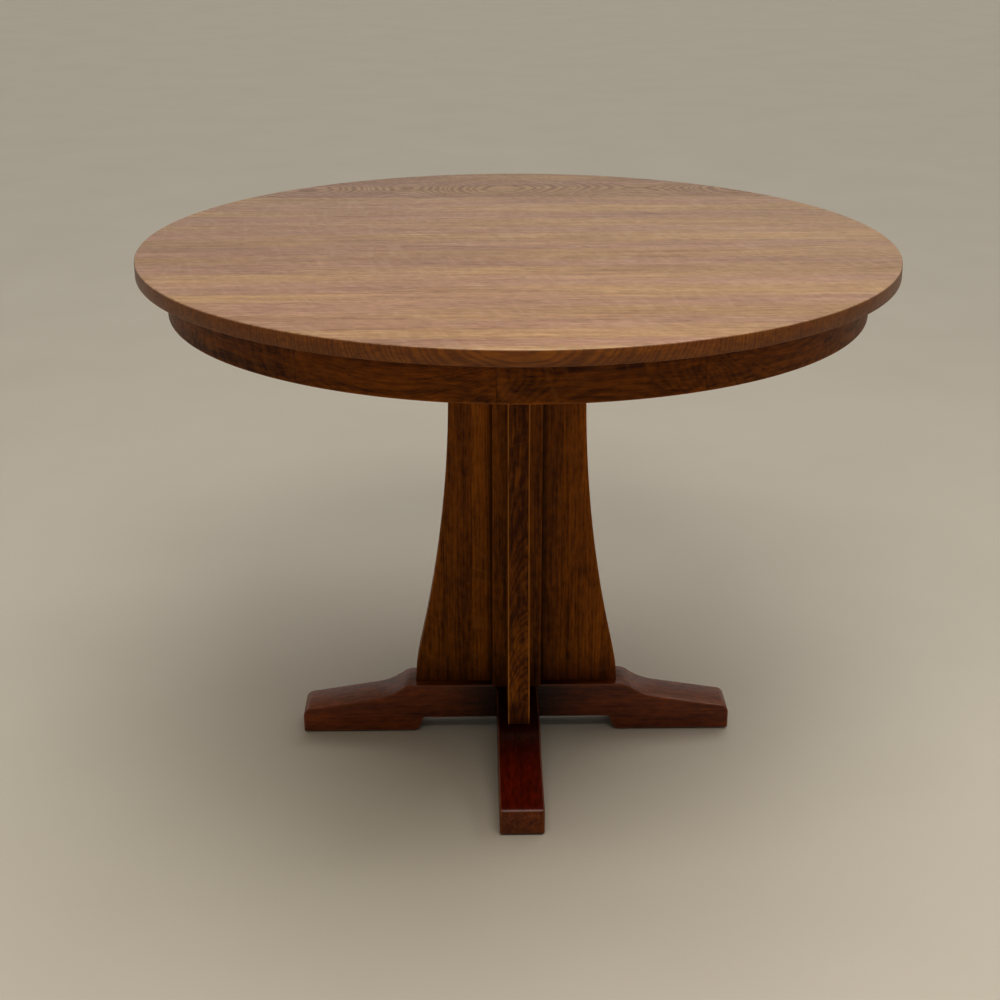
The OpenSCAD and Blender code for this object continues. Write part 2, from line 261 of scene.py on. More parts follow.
def hexagon(width, height, slope=0.0, steps=48):
    """A ring round a hexagon given across its flats, its corners drawn back by a cone of that slope."""
    ring = []
    for i in range(steps):
        angle = 360 * i / steps
        reach = width / 2 / math.cos(math.radians(angle % 60 - 30))
        turn = math.radians(angle)
        drop = slope * (reach - HEX_FACE * width)
        ring.append((reach * math.cos(turn), reach * math.sin(turn), height - drop))
    return ring


def turned(piece, degrees):
    """Turns a new piece's mesh about the post's axis."""
    piece.data.transform(Matrix.Rotation(math.radians(degrees), 4, "Z"))
    return piece


def mark_edges(mesh, worn_and_highlit_above):
    """Notes on each face whether it is easing painted pale, partly as wear and partly as painted highlight
    (1), a fine joint line (-1) or neither (0).
    """
    mark = mesh.attributes.new("edge", "FLOAT", "FACE")
    for face in mesh.polygons:
        corners = [mesh.vertices[i].co for i in face.vertices]
        shortest = min((a - b).length for a, b in zip(corners, corners[1:] + corners[:1]))
        if len(corners) == 4 and shortest < WIDEST_EASING:
            if shortest < WIDEST_LINE:
                mark.data[face.index].value = -1.0
            elif face.center.z > worn_and_highlit_above:
                mark.data[face.index].value = 1.0


def finished(piece, node, material, worn_and_highlit_above=0.0):
    """Puts a new piece in the place of the CAD node it stands for."""
    mark_edges(piece.data, worn_and_highlit_above)
    piece.data.materials.append(material)
    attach(piece, "root")
    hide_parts(node)


def cut(piece, cutters):
    """Takes solids away from a new piece and removes them."""
    for cutter in cutters:
        modifier = piece.modifiers.new("cut", "BOOLEAN")
        modifier.operation = "DIFFERENCE"
        modifier.solver = "EXACT"
        modifier.object = cutter
    graph = bpy.context.evaluated_depsgraph_get()
    mesh = bpy.data.meshes.new_from_object(piece.evaluated_get(graph))
    piece.modifiers.clear()
    piece.data = mesh
    mesh.set_sharp_from_angle(angle=SHARP_ANGLE)
    for cutter in cutters:
        bpy.data.objects.remove(cutter)


def box_cutter(low, high):
    corners = [(x, y, z) for z in (low[2], high[2]) for x, y in
               ((low[0], low[1]), (high[0], low[1]), (high[0], high[1]), (low[0], high[1]))]
    return loft("cutter", [corners[:4], corners[4:]])


def round_cutter(x, y, low, high, radius, travel=0.0, steps=24):
    """A round hole to cut, lengthened along X by the travel to each side."""
    ring = arc((x + travel, y), radius, -90, 90, steps) + arc((x - travel, y), radius, 90, 270, steps)
    if not travel:
        ring = arc((x, y), radius, 0, 360, 2 * steps)[:-1]
    return loft("cutter", [[(p.x, p.y, z) for p in ring] for z in (low, high)])


# ---- Wood ----


class Graph:
    """Short spellings for the nodes of one shader tree."""

    def __init__(self, tree):
        self.tree = tree

    def node(self, kind, **settings):
        made = self.tree.nodes.new(kind)
        for key, value in settings.items():
            setattr(made, key, value)
        return made

    def feed(self, socket, value):
        if isinstance(value, bpy.types.NodeSocket):
            self.tree.links.new(value, socket)
        else:
            socket.default_value = value

    def math(self, operation, *values):
        made = self.node("ShaderNodeMath", operation=operation)
        for socket, value in zip(made.inputs, values):
            self.feed(socket, value)
        return made.outputs[0]

    def vector(self, operation, *values):
        made = self.node("ShaderNodeVectorMath", operation=operation)
        for socket, value in zip(made.inputs, values):
            self.feed(socket, value)
        return made.outputs[0]

    def noise(self, place, stretch, detail=2.0):
        """Noise between 0 and 1, with a number of features to the metre along each axis."""
        made = self.node("ShaderNodeTexNoise")
        self.feed(made.inputs["Vector"], self.vector("MULTIPLY", place, stretch))
        made.inputs["Scale"].default_value = 1.0
        made.inputs["Detail"].default_value = detail
        return made.outputs[0]

    def step(self, value, low, high):
        """A smooth rise from 0 at low to 1 at high, or a smooth fall where low is above high."""
        made = self.node("ShaderNodeMapRange", interpolation_type="SMOOTHSTEP")
        self.feed(made.inputs["Value"], value)
        made.inputs["From Min"].default_value = low
        made.inputs["From Max"].default_value = high
        return made.outputs[0]

    def tinted(self, share, base, first, second):
        """The base colour times the first tint where share is 0, and times the second where it is 1."""
        made = self.node("ShaderNodeMix", data_type="RGBA", blend_type="MULTIPLY")
        made.inputs["Factor"].default_value = 1.0
        self.feed(made.inputs["A"], base)
        self.feed(made.inputs["B"], self.blend(share, colour(*first), colour(*second)))
        return made.outputs["Result"]

    def blend(self, share, first, second):
        made = self.node("ShaderNodeMix", data_type="RGBA")
        self.feed(made.inputs["Factor"], share)
        self.feed(made.inputs["A"], first)
        self.feed(made.inputs["B"], second)
        return made.outputs["Result"]


def colour(red, green, blue):
    return (red, green, blue, 1.0)


def group_with(name, inputs, outputs):
    """A new node group, with its inside as a Graph and its ends."""
    tree = bpy.data.node_groups.new(name, "ShaderNodeTree")
    for title, kind in inputs:
        tree.interface.new_socket(title, in_out="INPUT", socket_type=kind)
    for title, kind in outputs:
        tree.interface.new_socket(title, in_out="OUTPUT", socket_type=kind)
    inside = Graph(tree)
    return inside, inside.node("NodeGroupInput").outputs, inside.node("NodeGroupOutput").inputs


# Features to the metre along a board, across its face and through it
BENDS = (0.8, 2.2, 2.2)
RIPPLES = (9.0, 60.0, 60.0)
DRIFTS = (2.0, 2.0, 2.0)
PORES = (95.0, 1150.0, 1150.0)
STREAKS = (13.0, 260.0, 260.0)
BANDS = (4.0, 70.0, 70.0)
CLOUDS = (1.3, 6.0, 6.0)
MOTTLES = (55.0, 170.0, 170.0)
RIBBONS = (30.0, 7.0, 12.0)
FLECK_PATCHES = (5.0, 22.0, 22.0)
HUES = (2.0, 14.0, 14.0)
# Patches along eased edges painted pale, partly as wear and partly as painted highlight.
EDGE_WEAR_AND_HIGHLIGHT_PATCHES = (20.0, 60.0, 60.0)
HAZES = (12.0, 25.0, 25.0)

RING_WIDTH = 2.1 * MM
RIPPLE_DEPTH = 2.2 * MM
BEND_REACH = 50 * MM
SWAYS = 18.0
SEED_SHIFT = (3.7, 1.3, 2.1)
RIBBON_SLANT = 0.35
RIBBON_LEVELS = 4.0


def oak_figure():
    """The figure of an oak board, from the growth rings round a heart that lies beside the board.

    Place runs along the grain in X, across the face in Y and through the board in Z."""
    number, arrow = "NodeSocketFloat", "NodeSocketVector"
    g, given, out = group_with(
        "oak_figure",
        [("Place", arrow), ("Seed", number), ("Heart", arrow), ("Ring Width", number), ("Sway", number)],
        [("Tone", number), ("Early", number), ("Pores", number), ("Flecks", number)],
    )
    shift = g.vector("SCALE", SEED_SHIFT)
    g.feed(shift.node.inputs["Scale"], given["Seed"])
    place = g.vector("ADD", given["Place"], shift)
    wander = g.node("ShaderNodeSeparateXYZ")
    slow = g.node("ShaderNodeTexNoise")
    g.feed(slow.inputs["Vector"], g.vector("MULTIPLY", place, BENDS))
    slow.inputs["Scale"].default_value = 1.0
    slow.inputs["Detail"].default_value = 0.5
    g.feed(wander.inputs[0], g.vector("SUBTRACT", slow.outputs["Color"], (0.5, 0.5, 0.5)))
    from_heart = g.node("ShaderNodeSeparateXYZ")
    g.feed(from_heart.inputs[0], g.vector("SUBTRACT", given["Place"], given["Heart"]))
    across = g.math("MULTIPLY_ADD", wander.outputs[0], BEND_REACH, from_heart.outputs[1])
    through = g.math("MULTIPLY_ADD", wander.outputs[1], BEND_REACH, from_heart.outputs[2])
    squares = g.math("ADD", g.math("MULTIPLY", across, across), g.math("MULTIPLY", through, through))
    ripple = g.math("SUBTRACT", g.noise(place, RIPPLES, 2.0), 0.5)
    distance = g.math("MULTIPLY_ADD", ripple, RIPPLE_DEPTH, g.math("SQRT", squares))
    drift = g.math("MULTIPLY", g.noise(place, DRIFTS, 0.0), 4.0)
    sway = g.math("SINE", g.math("MULTIPLY_ADD", from_heart.outputs[0], SWAYS, drift))
    distance = g.math("MULTIPLY_ADD", sway, given["Sway"], distance)
    rings = g.math("DIVIDE", distance, given["Ring Width"])
    uneven = g.node("ShaderNodeTexNoise", noise_dimensions="1D")
    g.feed(uneven.inputs["W"], g.math("MULTIPLY_ADD", rings, 0.31, given["Seed"]))
    uneven.inputs["Scale"].default_value = 1.0
    part = g.math("FRACT", g.math("MULTIPLY_ADD", uneven.outputs[0], 2.2, rings))
    early = g.math("MULTIPLY", g.step(part, 0.0, 0.10), g.math("SUBTRACT", 1.0, g.step(part, 0.30, 0.62)))
    fine = g.step(g.noise(place, PORES, 1.0), 0.54, 0.68)
    g.feed(out["Pores"], g.math("MULTIPLY", fine, g.math("MULTIPLY_ADD", early, 0.75, 0.25)))
    g.feed(out["Early"], early)
    tone = g.math("MULTIPLY_ADD", g.noise(place, STREAKS, 3.0), 1.1, -0.05)
    for stretch, detail, share in ((BANDS, 3.0, 1.0), (CLOUDS, 2.0, 0.7), (MOTTLES, 3.0, 1.0)):
        uneven_tone = g.math("SUBTRACT", g.noise(place, stretch, detail), 0.5)
        tone = g.math("MULTIPLY_ADD", uneven_tone, share, tone)
    g.feed(out["Tone"], g.math("MULTIPLY_ADD", early, -0.13, g.math("ADD", tone, 0.04)))
    slanted = g.node("ShaderNodeSeparateXYZ")
    g.feed(slanted.inputs[0], place)
    along = g.math("MULTIPLY_ADD", slanted.outputs[1], RIBBON_SLANT, slanted.outputs[0])
    slant = g.node("ShaderNodeCombineXYZ")
    g.feed(slant.inputs[0], along)
    g.feed(slant.inputs[1], slanted.outputs[1])
    g.feed(slant.inputs[2], slanted.outputs[2])
    levels = g.math("MULTIPLY", g.noise(slant.outputs[0], RIBBONS, 0.0), RIBBON_LEVELS)
    folds = g.math("ABSOLUTE", g.math("SUBTRACT", g.math("FRACT", levels), 0.5))
    ribbons = g.step(folds, 0.20, 0.05)
    patches = g.step(g.noise(place, FLECK_PATCHES, 1.0), 0.34, 0.56)
    g.feed(out["Flecks"], g.math("MULTIPLY", ribbons, patches))
    return g.tree


OAK_FIGURE = oak_figure()

GRAIN_ALONG_X = (0.0, 0.0, 0.0)
GRAIN_ALONG_Y = (0.0, 0.0, math.pi / 2)
GRAIN_UP = (0.0, -math.pi / 2, 0.0)


# How a piece is stained: its darkest and lightest brown, and how it is lacquered.
# A side tint goes on where the surface's direction along an axis passes from one value to another.
# The rim's darker, redder tint: partly end-grain stain, partly painted shade.
RIM_STAIN_AND_SHADE = {"axis": 2, "from": 0.7, "to": 0.2, "tint": (0.57, 0.29, 0.01), "rings": 0.25}
# Painted sheen that lightens the side feet's tops.
SIDE_FOOT_TOP_SHEEN = {"axis": 2, "from": 0.5, "to": 0.9, "tint": (1.08, 1.20, 0.8), "rings": -0.1}
# Painted shade that darkens and reddens the front foot's top under the table.
FRONT_FOOT_TOP_SHADE = {"axis": 2, "from": 0.5, "to": 0.9, "tint": (0.74, 0.20, 0.9), "rings": -0.1}
# The top's pale browns are partly stain and partly painted sheen.
TOP_STAIN_AND_SHEEN = {
    "dark": (0.232, 0.125, 0.071), "light": (0.464, 0.294, 0.178), "side": RIM_STAIN_AND_SHADE,
    "gloss": 0.35, "coat": 0.15,
}
# The apron, pedestal and feet take darker, redder browns than the top: partly stain, partly painted shade
# under the top.
APRON_STAIN_AND_SHADE = {
    "dark": (0.060, 0.0140, 0.0005), "light": (0.300, 0.088, 0.0030),
    "gloss": 0.1, "coat": 0.0,
}
PEDESTAL_STAIN_AND_SHADE = {
    "dark": (0.086, 0.0200, 0.0006), "light": (0.440, 0.142, 0.0040),
    "gloss": 0.1, "coat": 0.0,
}
SIDE_FOOT_STAIN_AND_SHADE = {
    "dark": (0.057, 0.0080, 0.0003), "light": (0.265, 0.056, 0.0020), "side": SIDE_FOOT_TOP_SHEEN,
    "gloss": 0.0, "coat": 0.9,
}
FRONT_FOOT_STAIN_AND_SHADE = {
    "dark": (0.056, 0.0090, 0.0003), "light": (0.235, 0.054, 0.0020), "side": FRONT_FOOT_TOP_SHADE,
    "gloss": 0.0, "coat": 0.7,
}
NO_STAIN = {"dark": (0.22, 0.12, 0.055), "light": (0.50, 0.34, 0.19), "gloss": 0.3, "coat": 0.0}
# Painted shade: the tint that darkens a piece towards its foot.
LOW_SHADE_TINT = (0.45, 0.32, 0.45)
# Painted shade: the tint that darkens wood near the post.
NEAR_POST_SHADE_TINT = (0.12, 0.08, 0.2)
MAUVE_TINT = (0.97, 0.94, 1.08)
TAN_TINT = (1.02, 1.03, 0.92)
NO_TINT = (1.0, 1.0, 1.0)
LACQUER_ROUGHNESS = 0.33
HAZE_ROUGHNESS = 0.14
PORE_ROUGHNESS = 0.14
FLECK_SHINE = 0.10
COAT_ROUGHNESS = 0.25
PORE_DEPTH = 0.25 * MM
PORE_STRENGTH = 0.35


def oak(
    name, stain_and_light, seed, grain, centre, heart,
    tone=0.0, flecks=0.08, rings=0.0, sway=0.0, edge_wear_and_highlight=0.3, low_shade=None, near_post_shade=None,
):
    """Stained and lacquered oak. Heart is the rings' centre in the board's own axes, in metres.

    Rings darkens the early wood further, and sway is how far the rings bend to and fro along the board.
    Edge wear and highlight is how far eased edges are painted pale, partly as wear and partly as painted
    highlight.
    Low shade is the range of heights over which painted shade darkens the foot of a piece. Near post shade
    is the range of distances from the post's axis over which painted shade near the post fades out."""
    material = bpy.data.materials.new(name)
    material.use_nodes = True
    g = Graph(material.node_tree)
    shader = material.node_tree.nodes["Principled BSDF"]
    place = g.node("ShaderNodeMapping", vector_type="TEXTURE")
    place.inputs["Location"].default_value = centre
    place.inputs["Rotation"].default_value = grain
    g.feed(place.inputs["Vector"], g.node("ShaderNodeTexCoord").outputs["Object"])
    figure = g.node("ShaderNodeGroup", node_tree=OAK_FIGURE)
    g.feed(figure.inputs["Place"], place.outputs[0])
    figure.inputs["Seed"].default_value = seed
    figure.inputs["Heart"].default_value = heart
    figure.inputs["Ring Width"].default_value = RING_WIDTH
    figure.inputs["Sway"].default_value = sway
    seen = figure.outputs
    value = g.math("MULTIPLY_ADD", seen["Early"], -rings, g.math("ADD", seen["Tone"], tone))
    side = stain_and_light.get("side")
    if side:
        normal = g.node("ShaderNodeSeparateXYZ")
        g.feed(normal.inputs[0], g.node("ShaderNodeNewGeometry").outputs["Normal"])
        on_side = g.step(g.math("ABSOLUTE", normal.outputs[side["axis"]]), side["from"], side["to"])
        value = g.math("MULTIPLY_ADD", g.math("MULTIPLY", on_side, seen["Early"]), -side["rings"], value)
    # The browns carry painted shade for the pieces under the top and part of the top's painted sheen.
    dark, light = stain_and_light["dark"], stain_and_light["light"]
    shade = g.blend(value, colour(*dark), colour(*light))
    shade = g.blend(g.math("MULTIPLY", seen["Pores"], 0.5), shade, colour(*(0.4 * c for c in dark)))
    pale = colour(light[0] * 1.2, light[1] * 1.45 + 0.01, light[2] * 1.7 + 0.02)
    flecking = g.math("MULTIPLY", seen["Flecks"], flecks)
    if side:
        flecking = g.math("MULTIPLY", flecking, g.math("SUBTRACT", 1.0, on_side))
    shade = g.blend(flecking, shade, pale)
    hue = g.step(g.noise(place.outputs[0], HUES, 2.0), 0.35, 0.65)
    shade = g.tinted(hue, shade, MAUVE_TINT, TAN_TINT)
    spot = g.node("ShaderNodeSeparateXYZ")
    g.feed(spot.inputs[0], g.node("ShaderNodeTexCoord").outputs["Object"])
    # Painted shade, darker towards the foot of the piece.
    if low_shade:
        shade = g.tinted(g.step(spot.outputs[2], *low_shade), shade, LOW_SHADE_TINT, NO_TINT)
    # Painted shade, darker near the post's axis.
    if near_post_shade:
        squares = g.math("MULTIPLY", spot.outputs[1], spot.outputs[1])
        away = g.math("SQRT", g.math("MULTIPLY_ADD", spot.outputs[0], spot.outputs[0], squares))
        shade = g.tinted(g.step(away, *near_post_shade), shade, NEAR_POST_SHADE_TINT, NO_TINT)
    # The side tint: painted sheen on the side feet's tops, painted shade on the front foot's top, and on the
    # rim partly end-grain stain and partly painted shade.
    if side:
        shade = g.tinted(on_side, shade, NO_TINT, side["tint"])
    edge = g.node("ShaderNodeAttribute", attribute_name="edge").outputs["Fac"]
    # Eased edges painted pale: partly wear, partly painted highlight.
    wear_and_highlight_patches = g.step(g.noise(place.outputs[0], EDGE_WEAR_AND_HIGHLIGHT_PATCHES, 3.0), 0.22, 0.52)
    worn_and_highlit = g.math("MULTIPLY", g.math("MAXIMUM", edge, 0.0), wear_and_highlight_patches)
    shade = g.blend(g.math("MULTIPLY", worn_and_highlit, edge_wear_and_highlight), shade, pale)
    filled = g.math("MULTIPLY", g.math("MINIMUM", edge, 0.0), -0.8)
    shade = g.blend(filled, shade, colour(*(0.25 * c for c in dark)))
    g.feed(shader.inputs["Base Color"], shade)
    haze = g.noise(place.outputs[0], HAZES, 3.0)
    rough = g.math("MULTIPLY_ADD", haze, HAZE_ROUGHNESS, LACQUER_ROUGHNESS)
    rough = g.math("MULTIPLY_ADD", seen["Pores"], PORE_ROUGHNESS, rough)
    rough = g.math("MULTIPLY_ADD", seen["Flecks"], -FLECK_SHINE * flecks, rough)
    g.feed(shader.inputs["Roughness"], rough)
    height = g.math("MULTIPLY_ADD", seen["Pores"], -1.0, g.math("MULTIPLY", seen["Early"], -0.25))
    bump = g.node("ShaderNodeBump")
    bump.inputs["Strength"].default_value = PORE_STRENGTH
    bump.inputs["Distance"].default_value = PORE_DEPTH
    g.feed(bump.inputs["Height"], height)
    g.feed(shader.inputs["Normal"], bump.outputs[0])
    shader.inputs["Specular IOR Level"].default_value = stain_and_light["gloss"]
    shader.inputs["Coat Weight"].default_value = stain_and_light["coat"]
    shader.inputs["Coat Roughness"].default_value = COAT_ROUGHNESS
    return material


# ---- Top ----


def board_ring(radius, front, back, height, steps=28):
    """The outline of one board of the round top, at one height."""
    if front <= -radius:
        seam = math.degrees(math.asin(back / radius))
        outline = arc((0, 0), radius, 180 - seam, 360 + seam, 2 * steps + 1)
    elif back >= radius:
        seam = math.degrees(math.asin(front / radius))
        outline = arc((0, 0), radius, seam, 180 - seam, 2 * steps + 1)
    else:
        low = math.degrees(math.asin(front / radius))
        high = math.degrees(math.asin(back / radius))
        outline = arc((0, 0), radius, low, high, steps) + arc((0, 0), radius, 180 - high, 180 - low, steps)
    return [(p.x, p.y, height) for p in outline]


def top_board(node, index):
    low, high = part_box(node)
    front = -1.0 if index == 0 else low.y
    back = 1.0 if index == len(BOARDS) - 1 else high.y
    levels = [(b, TOP_UNDERSIDE + a) for a, b in easing_steps(TOP_UNDER_EASING, 2)]
    levels += [(b, TOP_FACE - a) for a, b in reversed(easing_steps(TOP_EASING))]
    outlines = [board_ring(TOP_RADIUS - back_off, front, back, height) for back_off, height in levels]
    piece = loft("oak_" + node, outlines)
    draw = random.Random(TOP_DRAWS + index)
    heart = (0.0, draw.choice((-1, 1)) * draw.uniform(0.13, 0.2), draw.uniform(-0.03, 0.03))
    tone, rings, sway = draw.uniform(-0.09, 0.09), 0.0, 0.0
    if index == len(BOARDS) - 1:
        heart, tone, rings, sway = FAR_BOARD_HEART, FAR_BOARD_TONE, FAR_BOARD_RINGS, FAR_BOARD_SWAY
    material = oak(
        "oak_top_" + str(index + 1), TOP_STAIN_AND_SHEEN, 3.1 + 1.7 * index, GRAIN_ALONG_X,
        (draw.uniform(-0.2, 0.2), (low.y + high.y) / 2, (TOP_UNDERSIDE + TOP_FACE) / 2), heart,
        tone=tone, rings=rings, sway=sway, edge_wear_and_highlight=TOP_EDGE_WEAR_AND_HIGHLIGHT,
    )
    finished(piece, node, material, TOP_FACE - TOP_EASING)


for index, node in enumerate(BOARDS):
    top_board(node, index)


# ---- Apron ----


def apron_section(shrink):
    """The apron's cross-section as (radius, height), drawn in by a little at a segment's ends."""
    inner, outer = APRON_OUTER - APRON_THICKNESS + shrink, APRON_OUTER - shrink
    bottom, top = APRON_BOTTOM + shrink, TOP_UNDERSIDE - shrink
    radius = APRON_EASING - shrink
    lower_outer = arc((outer - radius, bottom + radius), radius, -90, 0, 5)
    lower_inner = arc((inner + radius, bottom + radius), radius, 180, 270, 5)
    return lower_inner + lower_outer + [Vector((outer, top)), Vector((inner, top))]


def apron_segment(number, steps=20):
    start = FIRST_JOINT + (number - 1) * SEGMENT_ANGLE
    line = math.degrees(JOINT_LINE / APRON_OUTER)
    turns = [(start, JOINT_LINE), (start + line, 0.0)]
    turns += [(start + SEGMENT_ANGLE * i / steps, 0.0) for i in range(1, steps)]
    turns += [(start + SEGMENT_ANGLE - line, 0.0), (start + SEGMENT_ANGLE, JOINT_LINE)]
    rings = []
    for angle, shrink in turns:
        across = Vector((math.cos(math.radians(angle)), math.sin(math.radians(angle))))
        rings.append([(across.x * p.x, across.y * p.x, p.y) for p in apron_section(shrink)])
    node = "apron_segment_" + str(number)
    piece = loft("oak_" + node, rings)
    draw = random.Random(APRON_DRAWS + number)
    middle = math.radians(start + SEGMENT_ANGLE / 2)
    height = (APRON_BOTTOM + TOP_UNDERSIDE) / 2
    centre = (APRON_OUTER * math.cos(middle), APRON_OUTER * math.sin(middle), height)
    grain = (math.pi / 2, 0.0, middle + math.pi / 2)
    heart = (0.0, draw.uniform(-0.12, 0.12), draw.uniform(-0.16, -0.10))
    material = oak(
        "oak_apron_" + str(number), APRON_STAIN_AND_SHADE, 1.3 + 1.1 * number, grain, centre, heart,
        tone=APRON_TONES.get(number, APRON_TONE), flecks=draw.uniform(0.0, 0.15),
    )
    finished(piece, node, material)


for number in range(1, len(SEGMENTS) + 1):
    apron_segment(number)


# ---- Post and wings ----


def rounded_rectangle(low, high, radii, steps=4):
    """A rectangle with its corners rounded: front left, front right, back right, back left."""
    corners = [(low[0], low[1]), (high[0], low[1]), (high[0], high[1]), (low[0], high[1])]
    signs = [(1, 1), (-1, 1), (-1, -1), (1, -1)]
    outline = []
    for i, (corner, sign, radius) in enumerate(zip(corners, signs, radii)):
        centre = (corner[0] + sign[0] * radius, corner[1] + sign[1] * radius)
        outline += arc(centre, radius, 180 + 90 * i, 270 + 90 * i, steps)
    return outline


def centre_post():
    half = POST_HIGH.x
    rings = []
    for height, shrink in ((POST_LOW.z, JOINT_LINE), (POST_LOW.z + JOINT_LINE, 0.0), (POST_HIGH.z, 0.0)):
        outline = rounded_rectangle((-half + shrink,) * 2, (half - shrink,) * 2, [POST_EASING] * 4)
        rings.append([(p.x, p.y, height) for p in outline])
    # The post is painted darker towards its foot: painted shade.
    material = oak(
        "oak_post", PEDESTAL_STAIN_AND_SHADE, 7.0, GRAIN_UP, (0, 0, 0.4), POST_HEART,
        tone=POST_TONE, edge_wear_and_highlight=0.0, low_shade=(POST_LOW.z, POST_LOW.z + POST_LOW_SHADE),
    )
    finished(loft("oak_centre_post", rings), "centre_post", material)


def hollow_reach(height):
    """How far a wing reaches at a height: upright at the top, then a long hollow to the foot."""
    drop = max(0.0, HOLLOW_TOP - height)
    reach = WAIST_REACH + HOLLOW_RADIUS - math.sqrt(HOLLOW_RADIUS**2 - drop**2)
    over = (reach - OUTER_HIGH.x) / HOLLOW_BLEND
    return OUTER_HIGH.x - HOLLOW_BLEND * math.log1p(math.exp(-over))


def wing(side, turn):
    half = OUTER_HIGH.y
    levels = [(OUTER_LOW.z, JOINT_LINE), (OUTER_LOW.z + JOINT_LINE, 0.0)]
    rise = (OUTER_HIGH.z - OUTER_LOW.z) / WING_LEVELS
    levels += [(OUTER_LOW.z + rise * i, 0.0) for i in range(1, WING_LEVELS + 1)]
    line = JOINT_LINE
    outer, inner = [], []
    for height, shrink in levels:
        low, high = (OUTER_LOW.x, -half + shrink), (hollow_reach(height) - shrink, half - shrink)
        outline = rounded_rectangle(low, high, [line, WING_EASING, WING_EASING, line])
        outer.append([(p.x, p.y, height) for p in outline])
    for height, shrink in (levels[0], levels[1], levels[-1]):
        low, high = (INNER_LOW.x, -half + shrink), (INNER_HIGH.x, half - shrink)
        outline = rounded_rectangle(low, high, [line] * 4)
        inner.append([(p.x, p.y, height) for p in outline])
    draw = random.Random(WING_DRAWS + turn)
    # Painted shade: darker towards the wing's foot, and beside the post.
    low_shade = [OUTER_LOW.z + height for height in WING_LOW_SHADE]
    near_post_shade = (POST_HIGH.x, POST_HIGH.x + CORNER_SHADE)
    # Eased edges painted pale, partly as wear and partly as painted highlight.
    edge_wear_and_highlight = FRONT_WING_EDGE_WEAR_AND_HIGHLIGHT if side == "front" else WING_EDGE_WEAR_AND_HIGHLIGHT
    for rings, name in ((outer, "_wing_outer_board"), (inner, "_wing_inner_board")):
        node = side + name
        grain = Matrix.Rotation(math.radians(turn), 3, "Z") @ Matrix.Rotation(-math.pi / 2, 3, "Y")
        grain = grain @ Matrix.Rotation(math.pi / 2, 3, "X")
        low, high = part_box(node)
        centre = (low + high) / 2
        material = oak(
            "oak_" + node, PEDESTAL_STAIN_AND_SHADE, draw.uniform(1, 20), tuple(grain.to_euler()), tuple(centre),
            (0.0, draw.uniform(-0.1, 0.1), draw.choice((-1, 1)) * draw.uniform(0.02, 0.07)),
            tone=WING_TONES.get(node, 0.0), flecks=WING_FLECKS.get(node, WING_FLECK), rings=WING_RINGS,
            edge_wear_and_highlight=edge_wear_and_highlight, low_shade=low_shade, near_post_shade=near_post_shade,
        )
        finished(turned(loft("oak_" + node, rings), turn), node, material)


centre_post()
for side, turn in SIDES.items():
    wing(side, turn)


# ---- Foot beams ----


def cove_centre():
    """The centre of the hollow that touches the crest's round and the toe's sloping line."""
    rise = math.tan(TOE_SLOPE)
    gap = CREST_RADIUS + COVE_RADIUS
    level = TOE_HEIGHT + FOOT_HIGH.x * rise + COVE_RADIUS / math.cos(TOE_SLOPE) - CREST_CENTRE.y
    half_sum = CREST_CENTRE.x + rise * level
    root = math.sqrt(half_sum**2 - (1 + rise**2) * (CREST_CENTRE.x**2 + level**2 - gap**2))
    x = (half_sum + root) / (1 + rise**2)
    return Vector((x, CREST_CENTRE.y + level - rise * x))


def half_foot_outline():
    """Half of a foot beam from the side: out along the bottom, up the toe and back along the top."""
    bottom, toe = FOOT_LOW.z, FOOT_HIGH.x
    arch_end = (ARCH_TOP_REACH, ARCH_HEIGHT)
    heel = (ARCH_FOOT_REACH, bottom)
    tip = (toe, bottom)
    cove = cove_centre()
    slope = math.degrees(TOE_SLOPE)
    turn = math.degrees(math.asin((cove.x - CREST_CENTRE.x) / (CREST_RADIUS + COVE_RADIUS)))
    toe_level = TOE_HEIGHT + TOE_ROUND * (math.tan(TOE_SLOPE) - 1 / math.cos(TOE_SLOPE))
    toe_centre = (toe - TOE_ROUND, toe_level)
    return (
        fillet((0, ARCH_HEIGHT), arch_end, heel, ARCH_TOP_FILLET)
        + fillet(arch_end, heel, tip, ARCH_FOOT_FILLET)
        + fillet(heel, tip, (toe, TOE_HEIGHT), TOE_FOOT_FILLET)
        + arc(toe_centre, TOE_ROUND, 0, 90 - slope, 12)
        + arc(cove, COVE_RADIUS, 270 - slope, 270 - turn, 16)
        + arc(CREST_CENTRE, CREST_RADIUS, 90 - turn, 90, 10)
    )


def eased_slab(name, outline, half_width, easing):
    """A slab with a side outline in X and Z, standing across Y, its two outlines' edges rounded."""
    steps = easing_steps(easing)
    sides = [(-half_width + a, b) for a, b in steps] + [(half_width - a, b) for a, b in reversed(steps)]
    rings = []
    for place, back_off in sides:
        rings.append([(p.x, place, p.y) for p in inset(outline, back_off)])
    return loft(name, rings)


